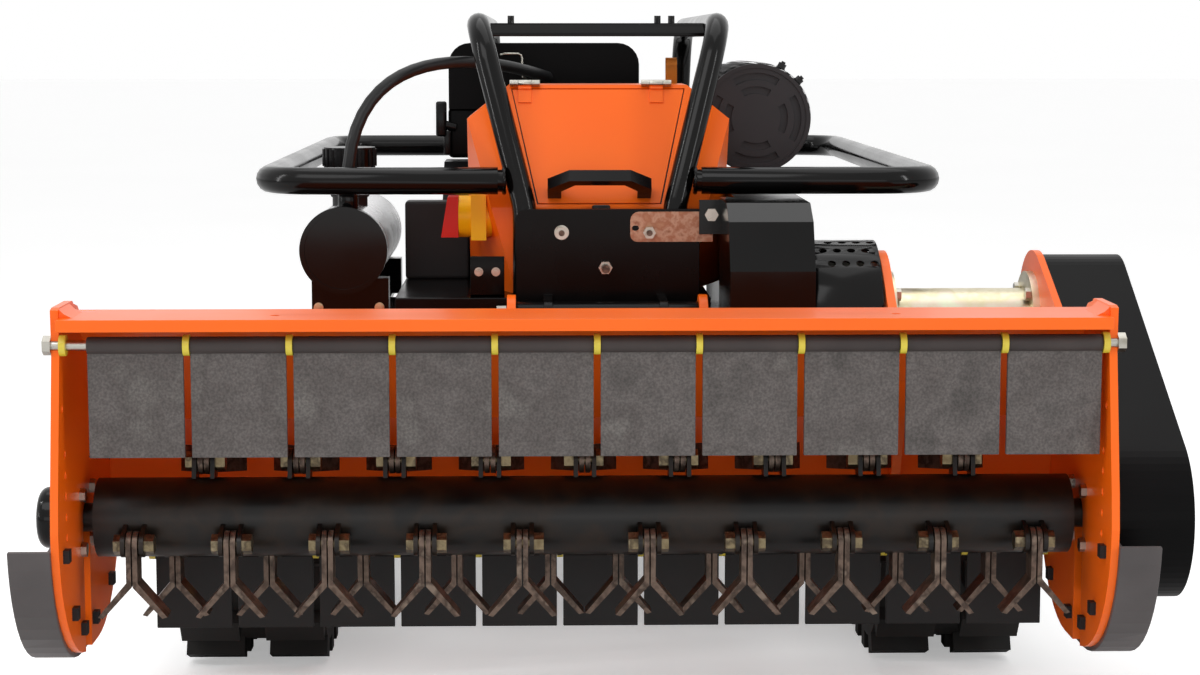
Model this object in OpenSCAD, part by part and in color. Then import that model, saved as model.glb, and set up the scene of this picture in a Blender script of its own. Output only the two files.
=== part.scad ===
// Remote-controlled flail mower: a flail deck carried in front of a crawler chassis.
// The machine's front faces -Y, +X is to the right seen from the front, and the ground is z = 0.

/* [Deck] */
// Inside width between the side plates
deck_w = 1037; // [1012:1:1080]
// Offset of the deck's middle from the machine's centre plane
deck_x = -24; // [-30:1:-16]
// Thickness of the side plates
plate_t = 8; // [6:1:10]
// Thickness of the folded deck sheet
sheet_t = 5; // [4:0.5:6]
// Height of the front beam's top face
beam_z = 438; // [428:1:450]
// Depth of the front beam's top face
beam_depth = 98; // [90:1:110]
// Height of the lip at the front of the beam
lip_h = 12; // [8:1:16]
// Diameter of the two holes in the beam's top face
beam_hole_d = 9; // [6:0.5:14]
// Distance between the two holes in the beam's top face
beam_hole_gap = 618; // [500:1:700]
// Radius of the side plates' lower corners
lobe_r = 150; // [144:1:154]
// Width of a skid
skid_w = 42; // [36:1:46]
// Thickness of a skid
skid_t = 5; // [4:1:8]

/* [Rotor] */
// Rotor axis, front to back
rotor_y = -629; // [-632:1:-626]
// Height of the rotor axis
rotor_z = 217; // [214:1:222]
// Diameter of the rotor tube
rotor_d = 82; // [70:1:86]
// Radius at which the flail bolts sit
pin_r = 58; // [56:0.5:60]
// Length of a blade from its bolt to its tip
blade_len = 74; // [66:1:76]
// Thickness of a blade
blade_t = 5; // [4:0.5:6]
// Width of a blade
blade_w = 28; // [24:1:30]
// Diameter of a flail bolt
bolt_d = 12; // [10:0.5:14]
// Spacing of the flails along a row
flail_pitch = 99; // [94:0.5:101]
// Diameter of the rotor's stub shafts and of the drive shaft
shaft_d = 30; // [26:1:34]

/* [Flaps] */
// Height of the front flap rod
rod_z = 411; // [408:1:414]
// Diameter of the flap rods
rod_d = 10; // [8:0.5:12]
// Width of the space between two flaps
flap_gap = 7; // [5:0.5:7]
// Thickness of a flap
flap_t = 6; // [4:0.5:7]
// Drop of a front flap below its rod
flap_drop = 112; // [100:1:113]
// Width of a rear flap
rear_flap_w = 83; // [76:0.5:84]
// Drop of a rear flap below its rod
rear_flap_drop = 88; // [70:1:92]

/* [Lift and drive] */
// Drive shaft and deck hinge axis, front to back
pivot_y = -356; // [-360:1:-352]
// Height of the drive shaft and deck hinge axis
pivot_z = 390; // [387:1:393]
// Diameter of the hinge pin
pin_d = 20; // [16:1:24]
// Radius of the arm plates' round tops
arm_r = 80; // [76:1:84]
// Diameter of the drive shaft's housing
housing_d = 73; // [70:1:76]
// Length of the lift lever below the hinge axis
lever_r = 125; // [122:1:128]
// Width of the belt cover
cover_w = 91; // [86:1:94]
// Thickness of the black guards and covers
guard_t = 3; // [2:0.5:4]

/* [Chassis] */
// Overall width of the chassis plate
chassis_w = 470; // [460:1:476]
// Height of the chassis plate's top face
chassis_z = 296; // [292:1:298]
// Outside width of the side guard rail
rail_w = 816; // [780:1:840]
// Height of the side guard rail's axis
rail_z = 546; // [540:1:560]
// Diameter of the side guard rail's tube
rail_d = 32; // [28:1:36]
// Diameter of the guard frame's tube
frame_d = 28; // [24:1:30]
// Height of the guard frame's top tubes
frame_z = 728; // [724:1:745]
// Thickness of the hood's sheet
hood_t = 3; // [2:0.5:4]
// Width of the hood
hood_w = 314; // [306:1:316]
// Height of the hood's top
hood_z = 656; // [650:1:662]

/* [Tracks] */
// Width of a track
track_w = 166; // [150:1:172]
// Distance between the two tracks' middles
track_gauge = 812; // [800:1:824]
// Distance between the idler's and the sprocket's axles
track_span = 820; // [790:1:850]
// Radius of the belt's outer face round the wheels
belt_r = 103; // [98:1:106]
// Thickness of the belt
belt_t = 14; // [10:1:16]
// Height of the tread lugs
lug_h = 22; // [16:1:26]

/* [Hidden] */
$fn = 64;
flap_n = 10;
rear_flap_n = 11;
flap_names = [for (i = [1 : flap_n]) str("front_flap_", i)];

orange = "orangered";
steel_black = [0.12, 0.12, 0.13];
rubber = [0.2, 0.2, 0.2];
zinc = "silver";

run = 0.1; // running clearance on a diameter
seat = 0.04; // clearance on a diameter of pieces fitted together
gap = 0.3; // air between a moving piece and its neighbour

deck_l = deck_x - deck_w / 2;
deck_r = deck_x + deck_w / 2;
plate_l = deck_l - plate_t;
plate_r = deck_r + plate_t;
front_y = rotor_y - 135;
rod_y = front_y + 20;
wall_y = rotor_y + 152;
wall_bottom = rotor_z - 52;
wall_top = rotor_z + 83;
lobe_z = rotor_z + 10;
front_lobe_y = rotor_y + 3;
rear_lobe_y = rotor_y + 55;
slot_w = shaft_d + 4;
rear_rod_y = wall_y + 3;
rear_rod_z = wall_bottom - 15;
roll_d = rod_d + 7;
flap_pitch = (deck_w - 27) / flap_n;
flap_w = flap_pitch - flap_gap;
rear_pitch = rear_flap_w + flap_gap;
ring_d = rod_d + 11;
ring_w = flap_gap - 2 * gap;
skid_hole_d = 8;
skid_bolt_r = lobe_r - 25;
bearing_r = 50;
bearing_w = 15;
bearing_bolt_r = 40;
ear_t = 10;
ear_l = -108;
ear_r = 111;
arm_x = 315;
flange_r = 56;
flange_t = 8;
flange_bolt_r = 46;
m8 = 8;
m8_head = 13;
m8_h = 6;

// Flails: the angle of each row's bolts round the rotor, and the places along it
front_angle = 198;
top_angle = 78;
rear_angle = -42;
lug_t = 4.5;
stack_gap = 1.5;
flail_reach = deck_w / 2 - 42;
flail_n = ceil(flail_reach / flail_pitch);
function within(row) = [for (x = row) if (abs(x) < flail_reach) x];
front_row = within([for (s = [-1, 1], i = [0 : flail_n]) s * (65 + flail_pitch * i)]);
rear_row = within([for (s = [-1, 1], i = [0 : flail_n]) s * (36 + flail_pitch * i)]);
top_row = within([for (i = [-flail_n : flail_n]) flail_pitch * i]);
lug_out = 2 * stack_gap - stack_gap / 2 + blade_t + lug_t;
top_lie = -7; // how far the top row lies below level on its stop, in degrees
drum_l = deck_l + 14;
drum_r = deck_r - 14;
blade_bend = 39;
blade_splay = 40;

// Belts and pulleys
rotor_pulley_r = 46;
shaft_pulley_r = 46;
belt_h = 6;
belt_flange = 8;
rotor_belt_w = 40;
rotor_belt_x = plate_r + bearing_w + 10;
drive_belt_x = 170;
drive_belt_w = 30;
drive_pulley_r = 58;
crank_y = 106;
crank_z = 430;
crank_d = 28;
clutch_r = 68;
clutch_x = 244;
clutch_w = 60;
clutch_guard_r = 92;
guard_l = 140;
guard_rear_l = hood_w / 2 + 0.5;
guard_r = 235;

// Chassis
plate_y = -298;
plate_thick = 6;
plate_left = -98;
plate_right = 116;
plate_top = 514;
chassis_rear = 736;
rail_bar = 60;
rail_depth = 94;
chassis_sheet = 6;
tow_z = 210;
tow_t = 12;
tow_d = 20;
box_z = 410;
box_l = -240;
box_in = 104;
box_r = 130;
box_rear = -24;
front_leg_x = 88;
front_leg_y = plate_y + plate_thick + frame_d / 2 + gap;
frame_x = 143;
frame_front_y = -224;
frame_rear_y = 521;
cross_y = -140;
guard_rear_y = 718;
guard_bend = 60;
hood_rear_y = -80;
hood_front_y = -255;
hood_top_y = -184;
hood_fold_z = 513;
hood_shoulder_z = hood_z - 40;
hood_top_w = 214;
hood_base_w = 196;
door_top_w = 206;
door_base_w = 144;
door_len = 154;
handle_y = -134;
handle_d = 14;
door_gap = 1.5;
panel_angle = atan2(hood_z - hood_fold_z, hood_top_y - hood_front_y);
hinge_x = [-88, 70];
hinge_w = 36;
hinge_pin_d = 4;
knuckle_d = 8;
hinge_lift = knuckle_d / 2 + 0.5;

// Fuel tank
tank_x = -304;
tank_z = 461;
tank_r = 52;
tank_front = -240;
tank_rear = 106;
tank_cap_w = 16;
neck_y = -122;
neck_d = 43;
neck_top = 567;
cap_d = 63;
cap_h = 25;
hose_d = 15;

// Engine and muffler
block_l = -120;
block_r = 100;
block_front = 10;
block_rear = 210;
block_top = 500;
fin_n = 8;
fin_r = 62;
fin_t = 3;
cover_l = -189;
cover_right = 60;
cover_front = 76;
cover_rear = 216;
cover_base = 620;
cover_top = 706;
cover_bend = 28;
blower_l = -195;
blower_r = 128;
muffler_x = 201;
muffler_z = 612;
muffler_r = 68;
muffler_front = -72;
muffler_rear = 188;
hose_start = [-300, -205, 528];
hose_end = [-60, cover_front, 662];
hose_straight = 6;
hose_rise = 224;
hose_run = 114;

// Isolator
isolator_y = -212;
isolator_z = 500;
isolator_d = 50;
isolator_out = -167;
knob_out = -185;

// Tracks and lift actuator
track_cz = belt_r + lug_h;
wheel_r = belt_r - belt_t - 0.5;
wheel_w = 80;
idler_y = -250;
sprocket_y = idler_y + track_span;
axle_d = 30;
fork_t = 8;
lug_n = 38;
lug_len = 26;
notch_w = 30;
motor_d = 130;
raise = 25; // the tracks stand this much lower than the level that the rest is measured from
actuator_x = 6;
rod_level = pivot_z - lever_r;
rod_rest_y = pivot_y + lever_r * tan(5);
actuator_d = 44;
actuator_front = -262;
actuator_rear = -20;
lift_rod_d = 20;
lift_pin_d = 12;
fork_w = 26;

module xcyl(x0, x1, y, z, d) translate([x0, y, z]) rotate([0, 90, 0]) cylinder(d = d, h = x1 - x0);
module ycyl(x, y0, y1, z, d) translate([x, y0, z]) rotate([-90, 0, 0]) cylinder(d = d, h = y1 - y0);
module zcyl(x, y, z0, z1, d) translate([x, y, z0]) cylinder(d = d, h = z1 - z0);
module hex_x(x, y, z, af, h) translate([x, y, z]) rotate([0, 90, 0])
    cylinder(d = af / cos(30), h = h, $fn = 6);
module hex_y(x, y, z, af, h) translate([x, y, z]) rotate([-90, 0, 0])
    cylinder(d = af / cos(30), h = h, $fn = 6);
// A plate drawn in (Y, Z) and given its thickness along +X
module yz_plate(x, t) translate([x, 0, 0]) rotate([90, 0, 90]) linear_extrude(t) children();

function unit(v) = v / norm(v);
function arc(c, r, a0, a1, n = 12) =
    [for (i = [0 : n]) let (a = a0 + (a1 - a0) * i / n) c + r * [cos(a), sin(a)]];
function side(a, b) = let (d = unit(b - a)) [-d[1], d[0]];
function mitre(p, i, t) =
    i == 0 ? p[0] + t * side(p[0], p[1])
    : i == len(p) - 1 ? p[i] + t * side(p[i - 1], p[i])
    : let (m = side(p[i - 1], p[i]), n = side(p[i], p[i + 1])) p[i] + t * (m + n) / (1 + m * n);
function strip(p, t) = concat(p, [for (i = [len(p) - 1 : -1 : 0]) mitre(p, i, t)]);

// Bent tubes: a path with rounded corners, swept by a circle
function corner(a, p, b, r, n) =
    let (u = unit(a - p), v = unit(b - p), half = acos(u * v) / 2, w = 180 - 2 * half,
        c = p + unit(u + v) * r / sin(half), s = p + u * r / tan(half) - c, e = p + v * r / tan(half) - c)
    [for (i = [0 : n]) c + (sin((1 - i / n) * w) * s + sin(i / n * w) * e) / sin(w)];
function rounded(p, r, n = 6) = concat([p[0]],
    [for (i = [1 : len(p) - 2]) each corner(p[i - 1], p[i], p[i + 1], r, n)], [p[len(p) - 1]]);
function tangent(p, i) =
    i == 0 ? unit(p[1] - p[0])
    : i == len(p) - 1 ? unit(p[i] - p[i - 1])
    : unit(unit(p[i] - p[i - 1]) + unit(p[i + 1] - p[i]));
module sweep(p, d, up, sides = 16) {
    n = len(p);
    rings = [for (i = [0 : n - 1]) let (t = tangent(p, i), u = unit(cross(up, t)), v = cross(t, u))
        for (k = [0 : sides - 1]) p[i] + d / 2 * (cos(360 * k / sides) * u + sin(360 * k / sides) * v)];
    walls = [for (i = [0 : n - 2], k = [0 : sides - 1])
        let (a = i * sides + k, b = i * sides + (k + 1) % sides)
        each [[a, a + sides, b], [b, a + sides, b + sides]]];
    ends = [[for (k = [0 : sides - 1]) k], [for (k = [sides - 1 : -1 : 0]) (n - 1) * sides + k]];
    polyhedron(rings, concat(walls, ends));
}

// Places that holes and fasteners share
beam_hole_y = front_y + 40;
bearing_bolts = [for (a = [45 : 90 : 315]) [rotor_y, rotor_z] + bearing_bolt_r * [cos(a), sin(a)]];
skid_bolt_at = concat(
    [for (a = [192, 228, 252]) [front_lobe_y, lobe_z] + skid_bolt_r * [cos(a), sin(a)]],
    [for (a = [258, 305]) [rear_lobe_y, lobe_z] + skid_bolt_r * [cos(a), sin(a)]]);
flange_bolts = [for (a = [45 : 90 : 315]) [pivot_y, pivot_z] + flange_bolt_r * [cos(a), sin(a)]];
hole_column = [for (i = [0 : 4]) [front_y + 32, rotor_z + 83 - 21 * i]];

module holes(points, d) for (p = points) translate(p) circle(d = d);

module raised() translate([0, 0, raise]) children();

module deck_shell() color(orange) {
    fold = [[front_y, beam_z - lip_h], [front_y, beam_z], [front_y + beam_depth, beam_z],
        [wall_y, wall_top], [wall_y, wall_bottom]];
    difference() {
        yz_plate(deck_l, deck_w) polygon(strip(fold, -sheet_t));
        for (s = [-0.5, 0.5])
            zcyl(deck_x + s * beam_hole_gap, beam_hole_y, beam_z - 2 * sheet_t, beam_z + 1, beam_hole_d);
    }
    for (x = [ear_l, ear_r]) yz_plate(x, ear_t) difference() {
        hull() {
            translate([pivot_y, pivot_z]) circle(r = 30);
            translate([wall_y - sheet_t, wall_top - 100]) square([sheet_t, 100]);
        }
        translate([pivot_y, pivot_z]) circle(d = pin_d + run);
    }
    yz_plate(arm_x, ear_t) difference() {
        hull() {
            translate([pivot_y, pivot_z]) circle(r = arm_r);
            translate([wall_y - sheet_t, wall_top - 100]) square([sheet_t, 100]);
            translate([wall_y - 70, wall_top + 48]) circle(r = 2);
        }
        translate([pivot_y, pivot_z]) circle(d = shaft_d + 10);
        holes(flange_bolts, m8 + seat);
    }
    lift_lever();
}

// The lever's slot lets the actuator's pin stay level as the deck swings
module lift_lever() yz_plate(actuator_x - ear_t / 2, ear_t) difference() {
    hull() {
        translate([rod_rest_y, rod_level - 4]) circle(r = 20);
        translate([wall_y - sheet_t, wall_bottom + 30]) square([sheet_t, 80]);
    }
    hull() for (r = [-1, 13])
        translate([rod_rest_y + r * sin(5), rod_level - r * cos(5)]) circle(d = lift_pin_d + 3);
}

module plate_outline() polygon(concat(
    [[front_y + 16, beam_z + 8], [front_y + 18, beam_z - 30], [front_y - 8, rotor_z + 45]],
    arc([front_lobe_y, lobe_z], lobe_r, 180, 270), arc([rear_lobe_y, lobe_z], lobe_r, 270, 360),
    [[rear_lobe_y + lobe_r, wall_top], [front_y + beam_depth + 20, beam_z + 2]],
    arc([front_y + beam_depth - 10, beam_z - 2], 12, 45, 90, 4),
    [[front_y + 24, beam_z + 10]]));

module plate_holes() {
    translate([rotor_y, rotor_z]) circle(d = slot_w);
    translate([rotor_y - slot_w / 2, 0]) square([slot_w, rotor_z]);
    holes(concat(hole_column, [[rod_y + 4, rotor_z + 130]]), 8);
    holes(bearing_bolts, m8 + seat);
    holes(skid_bolt_at, skid_hole_d + seat);
    holes([[rod_y, rod_z], [rear_rod_y, rear_rod_z]], rod_d + seat);
}

module left_side_plate() color(orange) yz_plate(plate_l, plate_t) difference() {
    plate_outline();
    plate_holes();
}

// The right plate carries on up and back as the arm that holds the drive shaft
module right_side_plate() color(orange) yz_plate(deck_r, plate_t) difference() {
    union() {
        plate_outline();
        hull() {
            translate([pivot_y, pivot_z]) circle(r = arm_r);
            translate([rear_lobe_y, lobe_z]) circle(r = lobe_r - 10);
            translate([wall_y - 70, wall_top + 40]) circle(r = 2);
        }
    }
    plate_holes();
    translate([pivot_y, pivot_z]) circle(d = shaft_d + 10);
    holes(flange_bolts, m8 + seat);
}

module skid_band(r0, r1, a0, a1) difference() {
    polygon(concat(arc([front_lobe_y, lobe_z], r1, a0, 270), arc([rear_lobe_y, lobe_z], r1, 270, a1),
        arc([rear_lobe_y, lobe_z], r0, a1, 270), arc([front_lobe_y, lobe_z], r0, 270, a0)));
    holes(skid_bolt_at, skid_hole_d + seat);
}

module skids() color(steel_black) for (at = [[plate_l - skid_w, plate_l - skid_t], [plate_r, plate_r]]) {
    yz_plate(at[0], skid_w) skid_band(lobe_r, lobe_r + skid_t, 186, 314);
    yz_plate(at[1], skid_t) skid_band(lobe_r - 34, lobe_r + 1, 187, 313);
}

module skid_bolts() color(steel_black) for (p = skid_bolt_at) {
    translate([deck_l, p[0] - 6.5, p[1] - 6.5]) cube([m8_h, 13, 13]);
    xcyl(plate_l - skid_t - 4, deck_l + 1, p[0], p[1], skid_hole_d);
    translate([deck_r - m8_h, p[0] - 6.5, p[1] - 6.5]) cube([m8_h, 13, 13]);
    xcyl(deck_r - 1, plate_r + skid_t + 4, p[0], p[1], skid_hole_d);
}

module bearing_ring(x0, x1, y, z, d) difference() {
    xcyl(x0, x1, y, z, d);
    xcyl(x0 - 1, x1 + 1, y, z, shaft_d + run);
}

module shaft_bearings() color(steel_black) {
    difference() {
        union() {
            bearing_ring(plate_l - bearing_w, plate_l, rotor_y, rotor_z, 2 * bearing_r);
            translate([plate_l - bearing_w, rotor_y, rotor_z]) rotate([0, -90, 0]) rotate_extrude()
                polygon(concat([[0, 0], [32, 0]], arc([22, 14], 10, 0, 90, 6), [[0, 24]]));
        }
        xcyl(plate_l - bearing_w - 4, plate_l, rotor_y, rotor_z, shaft_d + run);
        for (p = bearing_bolts) xcyl(plate_l - bearing_w - 1, plate_l + 1, p[0], p[1], m8 + seat);
    }
    difference() {
        bearing_ring(plate_r, plate_r + bearing_w, rotor_y, rotor_z, 2 * bearing_r);
        for (p = bearing_bolts) xcyl(plate_r - 1, plate_r + bearing_w + 1, p[0], p[1], m8 + seat);
    }
    for (x = [arm_x + ear_t + 2, deck_r - 18])
        bearing_ring(x, x + 16, pivot_y, pivot_z, housing_d - 11 - seat);
}

module flap_rods() color(zinc) for (p = [[rod_y, rod_z], [rear_rod_y, rear_rod_z]]) {
    xcyl(plate_l, plate_r, p[0], p[1], rod_d);
    hex_x(plate_l - 8, p[0], p[1], 17, 8);
    hex_x(plate_r, p[0], p[1], 17, 8);
}

module ring(x, y, z) difference() {
    xcyl(x, x + ring_w, y, z, ring_d);
    xcyl(x - 1, x + ring_w + 1, y, z, rod_d + seat);
}

module flap_spacers() color("gold") {
    for (i = [0 : flap_n - 1]) ring(deck_r - flap_gap + gap - i * flap_pitch, rod_y, rod_z);
    ring(deck_l + gap, rod_y, rod_z);
    for (i = [0 : rear_flap_n]) ring(deck_r - flap_gap + gap - i * rear_pitch, rear_rod_y, rear_rod_z);
}

module flap(x, w, y, z, drop) difference() {
    union() {
        xcyl(x, x + w, y, z, roll_d);
        translate([x, y - flap_t / 2, z - drop]) cube([w, flap_t, drop]);
    }
    xcyl(x - 1, x + w + 1, y, z, rod_d + run);
}

module front_flap(i) color(rubber)
    flap(deck_r - flap_gap - (flap_n + 1 - i) * flap_pitch + flap_gap, flap_w, rod_y, rod_z, flap_drop);

module rear_flaps() color(rubber) for (i = [1 : rear_flap_n])
    flap(deck_r - i * rear_pitch, rear_flap_w, rear_rod_y, rear_rod_z, rear_flap_drop);

module shaft_housing() color(zinc) difference() {
    union() {
        xcyl(arm_x + ear_t, deck_r, pivot_y, pivot_z, housing_d);
        xcyl(arm_x + ear_t, arm_x + ear_t + flange_t, pivot_y, pivot_z, 2 * flange_r);
        xcyl(deck_r - flange_t, deck_r, pivot_y, pivot_z, 2 * flange_r);
    }
    xcyl(arm_x, deck_r + 1, pivot_y, pivot_z, housing_d - 11);
    for (p = flange_bolts) xcyl(arm_x, deck_r + 1, p[0], p[1], m8 + seat);
}

module cover_outline(rim) hull() {
    translate([rotor_y, rotor_z]) circle(r = 88 - rim);
    translate([pivot_y, pivot_z]) circle(r = 75 - rim);
}

module belt_cover() color(steel_black) difference() {
    yz_plate(plate_r, cover_w) cover_outline(0);
    yz_plate(plate_r - 1, cover_w + 1 - guard_t) cover_outline(guard_t);
}

module belt_loop(x, w, a, ra, b, rb) yz_plate(x, w) difference() {
    hull() {
        translate(a) circle(r = ra + belt_h);
        translate(b) circle(r = rb + belt_h);
    }
    hull() {
        translate(a) circle(r = ra);
        translate(b) circle(r = rb);
    }
}

module pulley(x, w, y, z, r, bore) difference() {
    union() {
        xcyl(x - belt_flange, x + w + belt_flange, y, z, 2 * (r - gap));
        xcyl(x - belt_flange, x - gap, y, z, 2 * (r + belt_h));
        xcyl(x + w + gap, x + w + belt_flange, y, z, 2 * (r + belt_h));
    }
    xcyl(x - belt_flange - 1, x + w + belt_flange + 1, y, z, bore + seat);
}

module rotor_belt() color(rubber) belt_loop(rotor_belt_x, rotor_belt_w,
    [rotor_y, rotor_z], rotor_pulley_r, [pivot_y, pivot_z], shaft_pulley_r);

module drive_belt() color(rubber) belt_loop(drive_belt_x, drive_belt_w,
    [pivot_y, pivot_z], drive_pulley_r, [crank_y, crank_z], drive_pulley_r);

module deck_bolts() color(zinc) {
    for (p = bearing_bolts) {
        hex_x(deck_l, p[0], p[1], m8_head, m8_h);
        xcyl(plate_l - bearing_w, deck_l + 1, p[0], p[1], m8);
        hex_x(deck_r - m8_h, p[0], p[1], m8_head, m8_h);
        xcyl(deck_r - 1, plate_r + bearing_w, p[0], p[1], m8);
    }
    for (p = flange_bolts) {
        hex_x(arm_x + ear_t + flange_t, p[0], p[1], m8_head, m8_h);
        xcyl(arm_x, arm_x + ear_t + flange_t + 1, p[0], p[1], m8);
        hex_x(deck_r - flange_t - m8_h, p[0], p[1], m8_head, m8_h);
        xcyl(deck_r - flange_t - 1, plate_r, p[0], p[1], m8);
    }
    xcyl(ear_l - 2, ear_r + ear_t + 2, pivot_y, pivot_z, pin_d);
    hex_x(ear_l - 12, pivot_y, pivot_z, 30, 11);
}

// One end of the row's bolts is at the angle a round the rotor
function pin_at(a) = [rotor_y + pin_r * cos(a), rotor_z + pin_r * sin(a)];

module lug_pair(x, a) for (s = [-1, 1])
    translate([deck_x + x + (s < 0 ? -lug_out : lug_out - lug_t), rotor_y, rotor_z])
        rotate([a, 0, 0]) difference() {
            union() {
                translate([0, rotor_d / 2 - 5, -13]) cube([lug_t, pin_r - rotor_d / 2 + 5, 26]);
                translate([0, pin_r, 0]) rotate([0, 90, 0]) cylinder(r = 13, h = lug_t);
            }
            translate([-1, pin_r, 0]) rotate([0, 90, 0]) cylinder(d = bolt_d + seat, h = lug_t + 2);
        }

module rotor_tube() color(steel_black) {
    difference() {
        xcyl(drum_l, drum_r, rotor_y, rotor_z, rotor_d);
        xcyl(drum_l + 10, drum_r - 10, rotor_y, rotor_z, rotor_d - 16);
    }
    xcyl(plate_l - bearing_w, drum_l + 1, rotor_y, rotor_z, shaft_d);
    xcyl(drum_r - 1, rotor_belt_x + rotor_belt_w + belt_flange, rotor_y, rotor_z, shaft_d);
    for (x = front_row) lug_pair(x, front_angle);
    for (x = top_row) lug_pair(x, top_angle);
    for (x = rear_row) lug_pair(x, rear_angle);
}

module rotor_pulley() color(zinc)
    pulley(rotor_belt_x, rotor_belt_w, rotor_y, rotor_z, rotor_pulley_r, shaft_d);

module flail_bolt(x, a) {
    p = pin_at(a);
    s = x < 0 ? -1 : 1;
    xcyl(deck_x + x - lug_out, deck_x + x + lug_out, p[0], p[1], bolt_d);
    hex_x(deck_x + x + (s < 0 ? -lug_out - 7.5 : lug_out), p[0], p[1], 18, 7.5);
    hex_x(deck_x + x + (s < 0 ? lug_out : -lug_out - 10), p[0], p[1], 18, 10);
}

module flail_bolts() color(zinc) {
    for (x = front_row) flail_bolt(x, front_angle);
    for (x = top_row) flail_bolt(x, top_angle);
    for (x = rear_row) flail_bolt(x, rear_angle);
}

// A blade hangs along -Z from its bolt hole and its leg splays towards +X
module blade() difference() {
    union() {
        rotate([0, 90, 0]) cylinder(d = blade_w, h = blade_t);
        translate([0, -blade_w / 2, -blade_bend]) cube([blade_t, blade_w, blade_bend]);
        translate([0, blade_w / 2, 0]) rotate([90, 0, 0]) linear_extrude(blade_w) polygon([
            [0, -blade_bend + 6], [blade_t, -blade_bend + 1.5],
            [blade_t + (blade_len - blade_bend) * tan(blade_splay), -blade_len + 1.5],
            [(blade_len - blade_bend) * tan(blade_splay), -blade_len], [0, -blade_bend - 3]]);
    }
    translate([-1, 0, 0]) rotate([0, 90, 0]) cylinder(d = bolt_d + run, h = blade_t + 2);
}

module flail_row(row, a, lie) for (x = row) translate(concat([deck_x + x], pin_at(a))) rotate([lie, 0, 0]) {
    translate([stack_gap / 2, 0, 0]) blade();
    mirror([1, 0, 0]) translate([stack_gap / 2, 0, 0]) blade();
}

module flails_front() color("dimgray") flail_row(front_row, front_angle, 0);
module flails_top() color("dimgray") flail_row(top_row, top_angle, 90 + top_lie);
module flails_rear() color("dimgray") flail_row(rear_row, rear_angle, 0);

module drive_shaft() color(zinc) {
    xcyl(drive_belt_x - belt_flange, rotor_belt_x + rotor_belt_w + belt_flange, pivot_y, pivot_z, shaft_d);
    pulley(rotor_belt_x, rotor_belt_w, pivot_y, pivot_z, shaft_pulley_r, shaft_d);
    pulley(drive_belt_x, drive_belt_w, pivot_y, pivot_z, drive_pulley_r, shaft_d);
    bearing_fit_clutch();
}

module bearing_fit_clutch() difference() {
    xcyl(clutch_x, clutch_x + clutch_w, pivot_y, pivot_z, 2 * clutch_r);
    xcyl(clutch_x - 1, clutch_x + clutch_w + 1, pivot_y, pivot_z, shaft_d + seat);
}

module chassis_frame() color(steel_black) {
    half = chassis_w / 2;
    base = chassis_z - chassis_sheet;
    length = chassis_rear - plate_y - plate_thick;
    front = plate_y + plate_thick;
    translate([-half, front, base]) cube([chassis_w, length, chassis_sheet]);
    for (x = [-half, half - rail_bar])
        translate([x, front, base - rail_depth]) cube([rail_bar, length, rail_depth]);
    for (y = [front, chassis_rear - 40])
        translate([-half, y, base - rail_depth]) cube([chassis_w, 40, 40]);
    translate([box_l, front, chassis_z]) side_box(-box_in - box_l, box_rear - front, box_z - chassis_z);
    translate([box_in, front, chassis_z]) side_box(box_r - box_in, box_rear - front, box_z - chassis_z);
    difference() {
        translate([-50, chassis_rear - 6, tow_z]) cube([100, 50, tow_t]);
        zcyl(0, chassis_rear + 15, tow_z - 1, tow_z + tow_t + 1, tow_d);
    }
}

module side_box(w, l, h) difference() {
    cube([w, l, h]);
    translate([guard_t, guard_t, -1]) cube([w - 2 * guard_t, l - 2 * guard_t, h + 1 - guard_t]);
}

module front_plate() color(steel_black) {
    translate([0, plate_y + plate_thick, 0]) rotate([90, 0, 0]) linear_extrude(plate_thick) polygon(concat(
        [[plate_left, chassis_z]], arc([plate_left + 12, plate_top - 12], 12, 180, 90, 6),
        [[plate_right, plate_top], [plate_right, chassis_z]]));
    for (x = [-66, 66]) yz_plate(x, ear_t) difference() {
        hull() {
            translate([pivot_y, pivot_z]) circle(r = 24);
            translate([plate_y, pivot_z - 50]) square([1, 74]);
        }
        translate([pivot_y, pivot_z]) circle(d = pin_d + run);
    }
    difference() {
        xcyl(ear_l + ear_t + gap, ear_r - gap, pivot_y, pivot_z, 44);
        xcyl(ear_l, ear_r + ear_t, pivot_y, pivot_z, pin_d + run);
    }
}

module guard_frame() color(steel_black) {
    for (s = [-1, 1]) sweep(rounded([
        [s * front_leg_x, front_leg_y, chassis_z], [s * front_leg_x, front_leg_y, plate_top],
        [s * frame_x, frame_front_y, frame_z], [s * frame_x, frame_rear_y, frame_z],
        [s * (frame_x - 14), frame_rear_y + 20, chassis_z + 60],
        [s * (frame_x - 14), frame_rear_y + 20, chassis_z]], guard_bend), frame_d, [1, 0, 0]);
    translate([-frame_x, cross_y, frame_z - frame_d / 2]) cube([2 * frame_x, 20, 16]);
    for (x = [-105, 74, 91]) zcyl(x, cross_y + 10, frame_z - 2, frame_z + 11, 8);
}

module side_guard() color(steel_black) {
    x = rail_w / 2 - rail_d / 2;
    start = front_leg_x + frame_d / 2 + 9
        + (frame_x - front_leg_x) * (rail_z - plate_top) / (frame_z - plate_top);
    y = front_leg_y;
    sweep(rounded([[-start, y, rail_z], [-x, y, rail_z], [-x, guard_rear_y, rail_z],
        [x, guard_rear_y, rail_z], [x, y, rail_z], [start, y, rail_z]], guard_bend), rail_d, [0, 0, 1]);
    for (s = [-1, 1]) zcyl(s * 150, guard_rear_y, chassis_z, rail_z, rail_d - 4);
    for (s = [-1, 1]) translate([s * (start - 6), y, rail_z]) rotate([0, s * 90, 0])
        cylinder(d = rail_d - 6, h = 12);
}

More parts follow.
